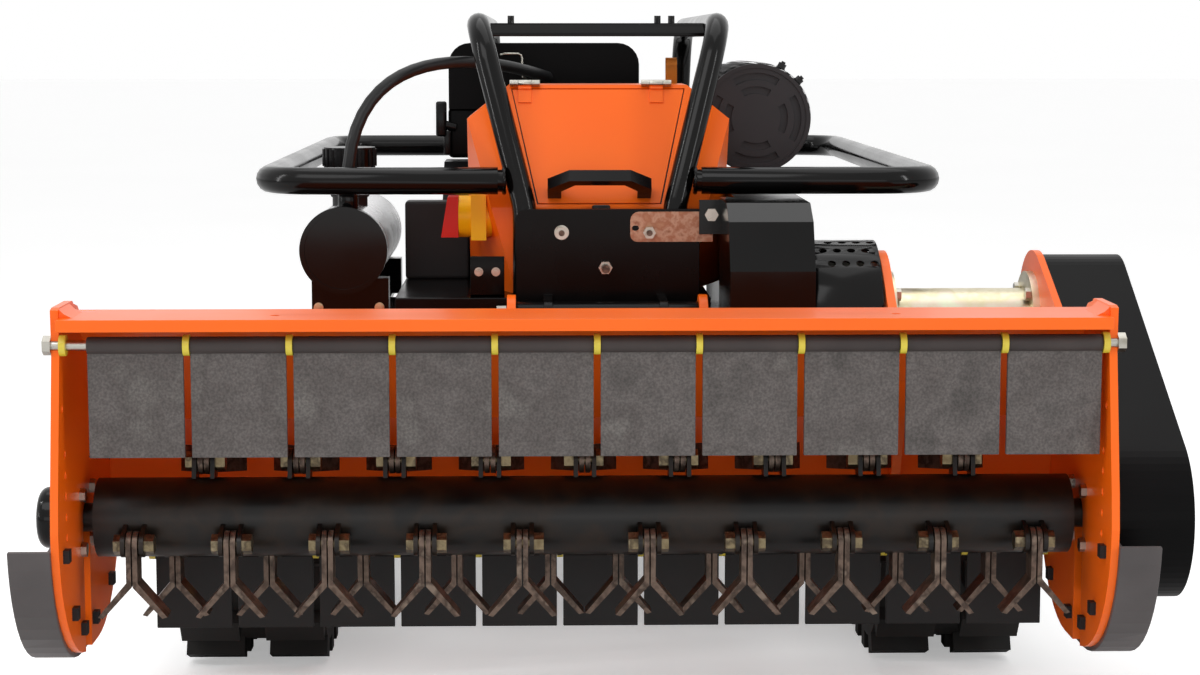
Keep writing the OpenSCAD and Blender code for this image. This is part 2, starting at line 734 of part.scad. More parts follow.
function hood_points(i, open) = [for (s = [-1, 1], p = [
    [hood_top_w / 2, hood_top_y + i, hood_z - i],
    [hood_w / 2 - i, hood_top_y - 20 + 1.2 * i, hood_shoulder_z - i / 2],
    [(hood_w + hood_base_w) / 4 - i, hood_front_y + i, hood_fold_z],
    [hood_base_w / 2 - i, hood_front_y + i, box_z + 0.02 - open],
    [hood_top_w / 2, hood_rear_y + open, hood_z - i],
    [hood_w / 2 - i, hood_rear_y + open, hood_shoulder_z - i / 2],
    [hood_w / 2 - i, hood_rear_y + open, box_z + 0.02 - open]]) [s * p[0], p[1], p[2]]];

module hood_form(i, open) hull() for (p = hood_points(i, open)) translate(p) cube(0.02, center = true);

// The sloping front panel's own plane: origin at the middle of its top edge, y up along the panel
module on_panel() translate([0, hood_top_y, hood_z]) rotate([panel_angle, 0, 0]) children();
module door_outline(rim) polygon([[-door_top_w / 2 - rim, -6 + rim], [door_top_w / 2 + rim, -6 + rim],
    [door_base_w / 2 + rim, -door_len - rim], [-door_base_w / 2 - rim, -door_len - rim]]);

module front_hood() color(orange) difference() {
    hood_form(0, 0);
    hood_form(hood_t, 1);
    on_panel() translate([0, 0, -12]) linear_extrude(24) door_outline(door_gap);
}

module hood_door() color(orange) {
    on_panel() translate([0, 0, -hood_t]) linear_extrude(hood_t) door_outline(0);
    for (x = hinge_x) on_panel() {
        difference() {
            xcyl(x - 8, x + 8, 0, hinge_lift, knuckle_d);
            xcyl(x - 9, x + 9, 0, hinge_lift, hinge_pin_d + run);
        }
        translate([x - 8, -24, 0]) cube([16, 19, 2]);
        translate([x - 8, -7, 0.5]) cube([16, 4.5, hinge_lift - 0.5]);
    }
}

// A bridge-shaped pull: its outline is drawn in the panel's width and its outward direction
module door_handle() color(steel_black) on_panel() translate([0, handle_y, 0]) rotate([90, 0, 0])
    linear_extrude(handle_d) difference() {
        polygon([[-61, 0], [-61, 27], [-36, 52], [36, 52], [61, 27], [61, 0]]);
        polygon([[-45, -1], [-45, 21], [-29, 39], [29, 39], [45, 21], [45, -1]]);
    }

module control_box() color(steel_black) {
    translate([box_l, box_rear - 36, box_z]) cube([80, 34, 98]);
    translate([-75, -230, chassis_z]) cube([150, 130, 90]);
}

module isolator_base() color("gold") difference() {
    union() {
        xcyl(isolator_out, -100, isolator_y, isolator_z, isolator_d);
        translate([isolator_out + 15, isolator_y - 27, isolator_z - 27]) cube([18, 54, 54]);
    }
    hood_form(0, 0);
    xcyl(isolator_out - 1, isolator_out + 14, isolator_y, isolator_z, 12 + run);
}

module isolator_knob() color("red") {
    translate([0, isolator_y + 19, isolator_z]) rotate([90, 0, 0]) linear_extrude(38) polygon([
        [knob_out - 3, -24], [isolator_out - gap, -24], [isolator_out - gap, 24], [knob_out + 5, 24]]);
    xcyl(isolator_out - 1, isolator_out + 12, isolator_y, isolator_z, 12);
}

module fuel_tank() color(zinc) {
    ycyl(tank_x, tank_front + tank_cap_w, tank_rear, tank_z, 2 * tank_r - 4);
    zcyl(tank_x, neck_y, tank_z, neck_top - 14, neck_d);
    zcyl(tank_x, neck_y, tank_z, neck_top, neck_d - 7);
}

module tank_bracket() color(steel_black) {
    difference() {
        ycyl(tank_x, tank_front, tank_front + tank_cap_w, tank_z, 2 * tank_r);
        ycyl(tank_x, tank_front - 1, tank_front + 2, tank_z, 2 * tank_r - 12);
    }
    difference() {
        union() for (y = [tank_front + 24, tank_rear - 50])
            translate([tank_x - 40, y, box_z - 30]) cube([92, 26, 46]);
        ycyl(tank_x, tank_front, tank_rear, tank_z, 2 * tank_r - 4 + seat);
    }
    translate([tank_x - 46, tank_front, box_z - 36])
        cube([box_l - tank_x + 46, tank_rear - tank_front - 96, 6]);
    translate([tank_x - 46, tank_rear - 96, box_z - 36]) cube([86, 96, 6]);
    difference() {
        zcyl(hose_start[0], hose_start[1], tank_z + tank_r - 8, hose_start[2], 24);
        ycyl(tank_x, tank_front, tank_rear, tank_z, 2 * tank_r - 4 + seat);
    }
}

module filler_cap() color(steel_black) difference() {
    zcyl(tank_x, neck_y, neck_top - 13, neck_top - 13 + cap_h, cap_d);
    zcyl(tank_x, neck_y, neck_top - 14, neck_top + gap, neck_d - 7 + run);
}

// The hose leaves the tank's stub upright and meets the engine's cover square
hose_from = hose_start + [0, 0, hose_straight];
hose_to = hose_end - [0, hose_straight, 0];
function hose_at(t) = pow(1 - t, 3) * hose_from + 3 * t * pow(1 - t, 2) * (hose_from + [0, 0, hose_rise])
    + 3 * t * t * (1 - t) * (hose_to - [0, hose_run, 0]) + pow(t, 3) * hose_to;
hose_points = concat([hose_start], [for (i = [0 : 24]) hose_at(i / 24)], [hose_end]);

module fuel_hose() color(rubber) sweep(hose_points, hose_d, [0.3, -0.4, 0.2], 12);

module cylinder_bank(x, lean) translate([x, crank_y, crank_z]) rotate([lean, 0, 0]) {
    cylinder(d = 92, h = 188);
    for (i = [0 : fin_n - 1]) translate([0, 0, 92 + i * 10]) cylinder(r = fin_r, h = fin_t);
    translate([-48, -48, 176]) cube([96, 96, 14]);
}

module engine_block() color("gray") difference() {
    union() {
        translate([block_l, block_front, chassis_z])
            cube([block_r - block_l, block_rear - block_front, block_top - chassis_z]);
        cylinder_bank(-40, 45);
        cylinder_bank(20, -45);
        translate([-50, crank_y - 30, block_top - 1]) cube([80, 60, cover_base - block_top + 1]);
    }
    xcyl(block_r - 40, block_r + 1, crank_y, crank_z, crank_d + run);
}

module engine_cover() color(steel_black) {
    bend_z = cover_top - cover_bend;
    translate([0, cover_rear, 0]) rotate([90, 0, 0]) linear_extrude(cover_rear - cover_front) polygon(concat(
        [[cover_l, cover_base]], arc([cover_l + cover_bend, bend_z], cover_bend, 180, 90, 6),
        arc([cover_right - cover_bend, bend_z], cover_bend, 90, 0, 6), [[cover_right, cover_base]]));
    difference() {
        yz_plate(blower_l, block_l - blower_l) translate([crank_y, crank_z]) circle(r = blower_r, $fn = 10);
        yz_plate(blower_l - 1, 12) translate([crank_y, crank_z]) circle(r = 80);
    }
}

// The end disc lies inside a rim and has four pairs of pressed arcs
module muffler() color(steel_black) {
    difference() {
        ycyl(muffler_x, muffler_front, muffler_rear, muffler_z, 2 * muffler_r);
        ycyl(muffler_x, muffler_front - 1, muffler_front + 2, muffler_z, 2 * muffler_r - 10);
        for (turn = [0 : 90 : 270], p = [[48, 62], [31, 56]])
            translate([muffler_x, muffler_front + 6, muffler_z]) rotate([90, turn + p[1] / 2, 0])
                rotate_extrude(angle = p[1]) translate([p[0], 0]) square([9, 8]);
    }
    xcyl(68, muffler_x, crank_y + 134, muffler_z - 46, 36);
    ycyl(muffler_x - 20, muffler_rear - 20, crank_y + 134, muffler_z - 46, 36);
}

guard_top = pivot_z + 137;
guard_front = [[pivot_y - 98, 303], [pivot_y - 98, pivot_z + 65], [pivot_y - 70, pivot_z + 118],
    [pivot_y - 34, guard_top], [-284, guard_top], [-284, 303]];
guard_run = [[-285, 303], [-285, guard_top], [crank_y + 50, guard_top], [crank_y + 86, pivot_z + 105],
    [crank_y + 86, crank_z - 68], [crank_y + 40, crank_z - 85], [-240, 303]];

module belt_guard() color(steel_black) {
    difference() {
        union() {
            yz_plate(guard_l, guard_r - guard_l) polygon(guard_front);
            yz_plate(guard_rear_l, guard_r - guard_rear_l) polygon(guard_run);
        }
        yz_plate(guard_l + guard_t, guard_r - guard_l) offset(delta = -guard_t) polygon(guard_front);
        yz_plate(guard_rear_l + guard_t, guard_r - guard_rear_l - 2 * guard_t)
            offset(delta = -guard_t) polygon(guard_run);
        translate([guard_rear_l + guard_t, -300, 303 + guard_t])
            cube([guard_r - guard_rear_l - 2 * guard_t, 40, guard_top - 303 - 2 * guard_t]);
        xcyl(block_r, guard_rear_l + guard_t + 1, crank_y, crank_z, crank_d + 8);
    }
    translate([115, plate_y - 6, 485]) cube([guard_l - 114, 3, 40]);
    difference() {
        xcyl(guard_r - 1, arm_x - 3, pivot_y, pivot_z, 2 * clutch_guard_r);
        xcyl(guard_r - 2, arm_x - 2, pivot_y, pivot_z, 2 * (clutch_guard_r - guard_t));
        for (a = [85 : 15 : 130], i = [0 : 3])
            translate([guard_r + 14 + 16 * i + (a % 30 == 10 ? 8 : 0), pivot_y, pivot_z])
                rotate([a - 90, 0, 0]) translate([0, 0, clutch_guard_r - 8]) cylinder(d = 9, h = 12);
    }
}

module crank_pulley() color(zinc) {
    xcyl(block_r - 38, drive_belt_x + drive_belt_w + belt_flange, crank_y, crank_z, crank_d);
    pulley(drive_belt_x, drive_belt_w, crank_y, crank_z, drive_pulley_r, crank_d);
}

strap = concat(arc([43, 484], 8, 180, 270, 4), [[131, 476], [131, 511]], arc([45, 501], 10, 90, 180, 4));

module chassis_bolts() color(zinc) {
    for (p = [[-45, 487], [57, 487]]) hex_y(p[0], plate_y - 11, p[1], 13, 8);
    translate([-45, plate_y - 3, 487]) rotate([-90, 0, 0]) cylinder(d = 17, h = 3);
    hex_y(6, plate_y - 8, 446, 14, 8);
    ycyl(6, plate_y - 26, plate_y - 7, 446, 9);
    translate([0, plate_y, 0]) rotate([90, 0, 0]) linear_extrude(3) difference() {
        polygon(strap);
        hull() for (x = [40, 42]) translate([x, 492]) circle(d = 6);
    }
    hex_y(129, plate_y - 14, 508, 14, 8);
    for (x = hinge_x) on_panel() {
        for (e = [[-hinge_w / 2, -8.3], [8.3, hinge_w / 2]]) {
            xcyl(x + e[0], x + e[1], 0, hinge_lift, knuckle_d);
            translate([x + e[0] + 0.4, 0, 0]) rotate([-panel_angle, 0, 0])
                translate([0, -1.3, 0.03]) cube([e[1] - e[0] - 0.8, 26, 1.6]);
        }
        xcyl(x - hinge_w / 2 + 1, x + hinge_w / 2 - 1, 0, hinge_lift, hinge_pin_d);
    }
}

// A point at the distance s round the belt, raised by h from its outer face
function on_belt(s, h) =
    let (turn = PI * belt_r, r = belt_r + h)
    s < track_span ? [idler_y + s, track_cz + r]
    : s < track_span + turn ? let (a = 90 - 180 * (s - track_span) / turn)
        [sprocket_y + r * cos(a), track_cz + r * sin(a)]
    : s < 2 * track_span + turn ? [sprocket_y - (s - track_span - turn), track_cz - r]
    : let (a = -90 - 180 * (s - 2 * track_span - turn) / turn) [idler_y + r * cos(a), track_cz + r * sin(a)];
belt_round = 2 * track_span + 2 * PI * belt_r;

module belt_side(r) {
    for (y = [idler_y, sprocket_y]) translate([y, track_cz]) circle(r = r);
    translate([idler_y, track_cz - r]) square([track_span, 2 * r]);
}

module tread() polygon([for (i = [0 : lug_n - 1]) let (s = i * belt_round / lug_n) each
    [on_belt(s, -3), on_belt(s, lug_h), on_belt(s + lug_len, lug_h), on_belt(s + lug_len, -3)]]);

module track(x) color(rubber) {
    band = (track_w - notch_w) / 2;
    yz_plate(x - track_w / 2, track_w) difference() {
        belt_side(belt_r);
        belt_side(belt_r - belt_t);
    }
    for (at = [x - track_w / 2, x + notch_w / 2]) yz_plate(at, band) difference() {
        tread();
        belt_side(belt_r - belt_t + 4);
    }
}
module left_track() track(-track_gauge / 2);
module right_track() track(track_gauge / 2);

module wheel(x, y, bore) color(steel_black) difference() {
    union() {
        for (at = [x - wheel_w / 2, x + wheel_w / 2 - 20]) xcyl(at, at + 20, y, track_cz, 2 * wheel_r);
        xcyl(x - wheel_w / 2, x + wheel_w / 2, y, track_cz, 110);
    }
    xcyl(x - wheel_w, x + wheel_w, y, track_cz, bore);
    for (a = [0 : 60 : 300]) translate([x - wheel_w, y, track_cz]) rotate([a, 0, 0])
        translate([0, 38, 0]) rotate([0, 90, 0]) cylinder(d = 18, h = 2 * wheel_w);
}

module left_idler() wheel(-track_gauge / 2, idler_y, axle_d + run);
module right_idler() wheel(track_gauge / 2, idler_y, axle_d + run);
// A sprocket is one piece with its shaft, which runs in the drive motor
module sprocket(s) color(steel_black) {
    x = s * track_gauge / 2;
    wheel(x, sprocket_y, axle_d - 2);
    inner = s * (chassis_w / 2 + 10);
    outer = x + s * wheel_w / 2;
    xcyl(min(inner, outer), max(inner, outer), sprocket_y, track_cz, axle_d);
}
module left_sprocket() sprocket(-1);
module right_sprocket() sprocket(1);

module track_frames() color(steel_black) for (s = [-1, 1]) {
    x = s * track_gauge / 2;
    beam_y = idler_y + wheel_r + 8;
    beam_l = track_span - 2 * wheel_r - 16;
    floor_z = track_cz - belt_r + belt_t + gap;
    translate([x - wheel_w / 2 - 3, beam_y, floor_z]) cube([wheel_w + 6, beam_l, 2 * wheel_r - 50]);
    for (p = [-wheel_w / 2 - 3 - fork_t, wheel_w / 2 + 3])
        translate([x + p, idler_y - 30, track_cz - 30]) cube([fork_t, beam_l + wheel_r, 60]);
    xcyl(x - wheel_w / 2 - 3, x + wheel_w / 2 + 3, idler_y, track_cz, axle_d);
    for (y = [beam_y + 40, beam_y + beam_l - 60]) arm_stub(s, x, y);
    difference() {
        xcyl(s > 0 ? chassis_w / 2 : -chassis_w / 2 - 55, s > 0 ? chassis_w / 2 + 55 : -chassis_w / 2,
            sprocket_y, track_cz + 45, motor_d);
        xcyl(x - 300, x + 300, sprocket_y, track_cz, axle_d + run);
    }
}

module arm_stub(s, x, y) {
    a = s * chassis_w / 2;
    b = x - s * (wheel_w / 2 + 1);
    translate([min(a, b), y, track_cz + 10]) cube([abs(b - a), 60, 40]);
    translate([s > 0 ? a : a - 10, y - 10, track_cz + 10]) cube([10, 80, chassis_z + raise - track_cz - 20]);
}

module actuator_body() color(steel_black) difference() {
    union() {
        ycyl(actuator_x, actuator_front, actuator_rear, rod_level, actuator_d);
        for (y = [actuator_front + 20, actuator_rear - 60])
            translate([actuator_x - 30, y, rod_level - actuator_d / 2])
                cube([60, 40, chassis_z - chassis_sheet - rod_level + actuator_d / 2]);
        translate([actuator_x + 10, actuator_rear - 120, rod_level - 22]) cube([80, 50, 44]);
    }
    ycyl(actuator_x, actuator_front - 1, actuator_rear - 60, rod_level, lift_rod_d + run);
}

module actuator_rod() color(zinc) {
    ycyl(actuator_x, rod_rest_y + 24, actuator_front + 70, rod_level, lift_rod_d);
    difference() {
        translate([actuator_x - fork_w / 2, rod_rest_y - 14, rod_level - 13]) cube([fork_w, 40, 26]);
        translate([actuator_x - ear_t / 2 - 1, rod_rest_y - 15, rod_level - 14]) cube([ear_t + 2, 37, 28]);
    }
    xcyl(actuator_x - fork_w / 2, actuator_x + fork_w / 2, rod_rest_y, rod_level, lift_pin_d);
}

raised() deck_shell();
raised() left_side_plate();
raised() right_side_plate();
raised() skids();
raised() skid_bolts();
raised() shaft_bearings();
raised() flap_rods();
raised() flap_spacers();
raised() shaft_housing();
raised() belt_cover();
raised() rotor_belt();
raised() deck_bolts();
raised() rotor_tube();
raised() rotor_pulley();
raised() flail_bolts();
raised() flails_front();
raised() flails_top();
raised() flails_rear();
raised() drive_shaft();
raised() rear_flaps();
raised() chassis_frame();
raised() front_plate();
raised() guard_frame();
raised() side_guard();
raised() front_hood();
raised() hood_door();
raised() door_handle();
raised() control_box();
raised() isolator_base();
raised() isolator_knob();
raised() fuel_tank();
raised() tank_bracket();
raised() filler_cap();
raised() fuel_hose();
raised() engine_block();
raised() engine_cover();
raised() muffler();
raised() belt_guard();
raised() drive_belt();
raised() crank_pulley();
raised() chassis_bolts();
left_track();
right_track();
track_frames();
left_sprocket();
right_sprocket();
left_idler();
right_idler();
raised() actuator_body();
raised() actuator_rod();
for (i = [1 : flap_n]) raised() front_flap(i);
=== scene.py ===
import math

import bmesh
import bpy
from mathutils import Matrix, Vector


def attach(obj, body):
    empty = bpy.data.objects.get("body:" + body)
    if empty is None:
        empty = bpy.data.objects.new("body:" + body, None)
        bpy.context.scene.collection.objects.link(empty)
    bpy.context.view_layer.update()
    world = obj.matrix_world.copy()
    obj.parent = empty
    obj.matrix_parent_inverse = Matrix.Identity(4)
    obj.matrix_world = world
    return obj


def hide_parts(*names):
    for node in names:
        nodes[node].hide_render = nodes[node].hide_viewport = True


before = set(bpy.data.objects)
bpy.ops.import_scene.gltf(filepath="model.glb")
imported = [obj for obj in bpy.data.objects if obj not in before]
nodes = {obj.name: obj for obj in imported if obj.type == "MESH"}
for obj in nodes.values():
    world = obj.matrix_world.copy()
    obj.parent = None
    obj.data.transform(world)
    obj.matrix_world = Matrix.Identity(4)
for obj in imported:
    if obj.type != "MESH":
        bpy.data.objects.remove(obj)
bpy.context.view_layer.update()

scene = bpy.context.scene
scene.view_settings.view_transform = "Standard"
mm = 0.001
rideHeight = 25  # mm from the ground to the level that all but the tracks is measured from

# Colours are sRGB hex, pattern sizes are in millimetres.
looks = {
    # Powder coat on folded sheet: one strong even colour with a soft gloss
    "orangePaint": {"hexes": ["f9660b", "f7690c", "f46209"], "ior": 1.36, "rough": 0.32, "patternMm": 260,
                    "grainMm": 2.2, "bumpMm": 0.02},
    # Glossy powder coat on bent tube: black with long thin highlights
    "blackPaint": {"hexes": ["060606", "0a0909"], "ior": 1.28, "rough": 0.16, "patternMm": 120,
                   "grainMm": 3, "bumpMm": 0.01},
    # Powder coat on flat plate: deep black that mirrors little
    "blackSheet": {"hexes": ["070606", "0b0909"], "ior": 1.19, "rough": 0.22, "patternMm": 90,
                   "grainMm": 2, "bumpMm": 0.01},
    # Moulded ABS: black, with a broad soft shine
    "blackPlastic": {"hexes": ["080708", "0d0c0d"], "ior": 1.28, "rough": 0.26, "patternMm": 100,
                     "grainMm": 1.2, "bumpMm": 0.02},
    # Moulded polypropylene covers: near black and dull
    "coverPlastic": {"hexes": ["060606", "0a090a"], "ior": 1.16, "rough": 0.36, "patternMm": 100,
                     "grainMm": 1.2, "bumpMm": 0.02},
    # Heatproof stove paint: dark grey and dull
    "mufflerPaint": {"hexes": ["232022", "2d292b"], "ior": 1.35, "rough": 0.45, "patternMm": 60,
                     "grainMm": 1.5, "bumpMm": 0.05},
    # Blackened steel and matt moulded caps: dark, with a dull shine
    "matBlack": {"hexes": ["151415", "1f1d1e"], "ior": 1.35, "rough": 0.5, "patternMm": 60,
                 "grainMm": 1.5, "bumpMm": 0.05},
    # Black paint on the skids, drawn mid grey and dull: painted reflection of the white surroundings
    "skidPaintedReflection": {"hexes": ["4a4646", "565151"], "ior": 1.35, "rough": 0.45, "patternMm": 80,
                  "grainMm": 1.5, "bumpMm": 0.03},
    # Sheet rubber, dusty with wear: grey blotches, and specks drawn coarser than real ones so that they show
    "rubber": {"hexes": ["4b4745", "5c5755", "534e4c", "64605d"], "ior": 1.35, "rough": 0.66, "patternMm": 60,
               "grainMm": 1.4, "bumpMm": 0.08, "speckMm": 2.4, "speck": 0.26},
    # The same sheet where it is rolled round the rod: darker, with less dust and with painted shade from the
    # beam over it
    "rollRubberShaded": {"hexes": ["383231", "443d3b"], "ior": 1.35, "rough": 0.6, "patternMm": 60,
                   "grainMm": 1.4, "bumpMm": 0.08},
    # Clean sheet rubber, drawn almost black with painted shade from the deck over it
    "shadedRubber": {"hexes": ["171515", "242120"], "ior": 1.35, "rough": 0.5, "patternMm": 60,
                   "grainMm": 1.6, "bumpMm": 0.06},
    # Moulded track rubber: black and rough, hardly any shine
    "trackRubber": {"hexes": ["131211", "201d1b"], "ior": 1.35, "rough": 0.65, "patternMm": 50,
                    "grainMm": 3, "bumpMm": 0.2},
    # Extruded nitrile rubber: smooth black with a thin highlight
    "hoseRubber": {"hexes": ["121213", "1a1a1b"], "ior": 1.35, "rough": 0.4, "patternMm": 40,
                   "grainMm": 1, "bumpMm": 0.02},
    # Zinc plate on steel: bright grey metal, faintly blotched
    "zinc": {"hexes": ["a3a098", "b2afa6", "949084"], "metal": 1, "rough": 0.3, "patternMm": 18,
             "grainMm": 1, "bumpMm": 0.02},
    # Yellow passivated zinc: straw-coloured metal with a hint of pink and green
    "yellowZinc": {"hexes": ["cfc5a2", "d8d0b6", "c8bd9c", "d0c2b0", "cdd0b6"], "metal": 1, "rough": 0.34,
                   "patternMm": 34, "grainMm": 1.5, "bumpMm": 0.015},
    # Zinc plate soiled by cutting: brownish metal
    "wornZinc": {"hexes": ["63563f", "7d7056", "4b4133", "91846a"], "metal": 0.85, "rough": 0.36,
                 "patternMm": 14, "grainMm": 1.2, "bumpMm": 0.05},
    # Black paint rubbed by grit: black with brown spots
    "rotorPaint": {"hexes": ["0b0a0a", "13100e", "21170f", "0d0b0a"], "ior": 1.35, "rough": 0.36,
                   "patternMm": 45, "grainMm": 2, "bumpMm": 0.1},
    # Forged steel, bare and rusting: mottled brown
    "wornSteel": {"hexes": ["4a3b31", "66554a", "3b2e26", "75665a"], "metal": 0.6, "rough": 0.4,
                  "patternMm": 16, "grainMm": 1.6, "bumpMm": 0.1},
    # Bare steel strap with a film of rust: pinkish brown
    "rustStrap": {"hexes": ["a67c60", "96644a", "b59078", "8a5c44"], "metal": 0.5, "rough": 0.42,
                  "patternMm": 12, "grainMm": 1.4, "bumpMm": 0.05},
    # Polished aluminium: bright, with soft reflections
    "silver": {"hexes": ["e4e3e4", "ecebec"], "metal": 1, "rough": 0.26, "patternMm": 70,
               "grainMm": 1, "bumpMm": 0.01},
    # Cast aluminium: grey and rough
    "castAlloy": {"hexes": ["7f7d7b", "8f8d8a"], "metal": 0.9, "rough": 0.5, "patternMm": 40,
                  "grainMm": 1.2, "bumpMm": 0.1},
    # Moulded polyethylene: plain pale yellow
    "ringYellow": {"hexes": ["d8c63f", "cdb93a"], "rough": 0.35, "patternMm": 20,
                   "grainMm": 1, "bumpMm": 0.02},
    # Moulded ABS, dyed through: full colours with a soft shine
    "switchYellow": {"hexes": ["fdc316", "fabc12"], "ior": 1.3, "rough": 0.32, "patternMm": 40,
                     "grainMm": 1, "bumpMm": 0.02},
    "switchRed": {"hexes": ["d01c0e", "c6190c"], "ior": 1.3, "rough": 0.32, "patternMm": 40,
                  "grainMm": 1, "bumpMm": 0.02},
    # Woven webbing: tan, hardly any shine
    "strapBrown": {"hexes": ["c98216", "b8741a"], "rough": 0.6, "patternMm": 10,
                   "grainMm": 1.2, "bumpMm": 0.1},
    # Studio paper: white and dull
    "floorPaper": {"hexes": ["fcfcfc", "fafafa"], "rough": 0.9, "patternMm": 900,
                   "grainMm": 5, "bumpMm": 0.0},
}
patterns = {"blotchLow": 0.3, "blotchHigh": 0.7, "speckLow": 0.35, "speckHigh": 0.65, "roughSpread": 0.05,
            "bumpStrength": 0.6, "plainIor": 1.5}


def linear(code):
    parts = [int(code[i:i + 2], 16) / 255 for i in (0, 2, 4)]
    return [c / 12.92 if c <= 0.04045 else ((c + 0.055) / 1.055) ** 2.4 for c in parts] + [1]


def addNode(tree, kind, inputs=None, **settings):
    made = tree.nodes.new(kind)
    for key, value in settings.items():
        setattr(made, key, value)
    for key, value in (inputs or {}).items():
        if isinstance(value, bpy.types.NodeSocket):
            tree.links.new(value, made.inputs[key])
        else:
            made.inputs[key].default_value = value
    return made


def makeMaterial(name, look):
    made = bpy.data.materials.new(name)
    made.use_nodes = True
    tree = made.node_tree
    shader = tree.nodes["Principled BSDF"]
    place = addNode(tree, "ShaderNodeTexCoord").outputs["Object"]
    blotch = addNode(tree, "ShaderNodeTexNoise", {
        "Vector": place, "Scale": 1 / (look["patternMm"] * mm), "Detail": 5.0})
    ramp = addNode(tree, "ShaderNodeValToRGB", {"Fac": blotch.outputs[0]})
    stops = ramp.color_ramp.elements
    hexes = look["hexes"]
    low, high = patterns["blotchLow"], patterns["blotchHigh"]
    for extra in hexes[2:]:
        stops.new(0.5)
    for i, code in enumerate(hexes):
        stops[i].position = low + (high - low) * i / (len(hexes) - 1)
        stops[i].color = linear(code)
    colour = ramp.outputs["Color"]
    if "speckMm" in look:
        fleck = addNode(tree, "ShaderNodeTexNoise", {
            "Vector": place, "Scale": 1 / (look["speckMm"] * mm), "Detail": 6.0})
        shade = addNode(tree, "ShaderNodeMapRange", {
            "Value": fleck.outputs[0], "From Min": patterns["speckLow"], "From Max": patterns["speckHigh"],
            "To Min": 1 - look["speck"], "To Max": 1 + look["speck"]})
        dusty = addNode(tree, "ShaderNodeVectorMath", {0: colour, 1: shade.outputs[0]}, operation="MULTIPLY")
        colour = dusty.outputs[0]
    tree.links.new(colour, shader.inputs["Base Color"])
    shader.inputs["Metallic"].default_value = look.get("metal", 0)
    shader.inputs["IOR"].default_value = look.get("ior", patterns["plainIor"])
    rough = addNode(tree, "ShaderNodeMapRange", {
        "Value": blotch.outputs[0], "From Min": low, "From Max": high,
        "To Min": look["rough"] - patterns["roughSpread"], "To Max": look["rough"] + patterns["roughSpread"]})
    tree.links.new(rough.outputs[0], shader.inputs["Roughness"])
    if look["bumpMm"]:
        grain = addNode(tree, "ShaderNodeTexNoise", {
            "Vector": place, "Scale": 1 / (look["grainMm"] * mm), "Detail": 3.0})
        bump = addNode(tree, "ShaderNodeBump", {
            "Height": grain.outputs[0], "Distance": look["bumpMm"] * mm, "Strength": patterns["bumpStrength"]})
        tree.links.new(bump.outputs[0], shader.inputs["Normal"])
    return made


materials = {name: makeMaterial(name, look) for name, look in looks.items()}
print("materials made")

# Which look each CAD node takes
frontFlaps = ["front_flap_%d" % i for i in range(1, 11)]
finishes = {
    "orangePaint": ["deck_shell", "left_side_plate", "right_side_plate", "front_hood", "hood_door"],
    "blackPaint": ["guard_frame", "side_guard", "belt_guard", "shaft_bearings", "tank_bracket"],
    # the skids' grey is a painted reflection of the white surroundings
    "skidPaintedReflection": ["skids"],
    "blackSheet": ["front_plate", "chassis_frame", "track_frames", "actuator_body"],
    "blackPlastic": ["door_handle", "filler_cap"],
    "coverPlastic": ["engine_cover", "belt_cover"],
    "mufflerPaint": ["muffler"],
    "matBlack": ["control_box", "skid_bolts", "left_sprocket", "right_sprocket", "left_idler", "right_idler"],
    "rubber": frontFlaps,
    # the rear flaps' near black is painted shade from the deck over them
    "shadedRubber": ["rear_flaps"],
    "trackRubber": ["left_track", "right_track", "rotor_belt", "drive_belt"],
    "zinc": ["flap_rods", "deck_bolts", "rotor_pulley", "drive_shaft", "crank_pulley", "chassis_bolts",
             "actuator_rod"],
    "yellowZinc": ["shaft_housing"],
    "wornZinc": ["flail_bolts"],
    "rotorPaint": ["rotor_tube"],
    "wornSteel": ["flails_front", "flails_top", "flails_rear"],
    "silver": ["fuel_tank"],
    "castAlloy": ["engine_block"],
    "ringYellow": ["flap_spacers"],
    "switchYellow": ["isolator_base"],
    "switchRed": ["isolator_knob"],
}
for look, names in finishes.items():
    for name in names:
        mesh = nodes[name].data
        mesh.materials.clear()
        mesh.materials.append(materials[look])

# Parts of a node that have a finish of their own, by the box that their faces lie in
# The flaps' rolled tops take a darker rubber: painted shade from the beam over them
flapRollShade = ("rollRubberShaded", (-600, -800, 399), (600, -700, 430))
ownFinish = {
    "chassis_bolts": ("rustStrap", (34, -301.2, 475), (131, -297.9, 523)),  # strap
    "fuel_tank": ("matBlack", (-330, -150, 513), (-280, -95, 570)),  # filler neck
    "hood_door": ("zinc", (-100, -200, 655.5), (85, -150, 670)),  # hinge knuckles
}
ownFinish.update({name: flapRollShade for name in frontFlaps})
for name, (look, low, high) in ownFinish.items():
    mesh = nodes[name].data
    mesh.materials.append(materials[look])
    for face in mesh.polygons:
        centre = face.center / mm - Vector((0, 0, rideHeight))
        if all(a <= c <= b for a, b, c in zip(low, high, centre)):
            face.material_index = 1

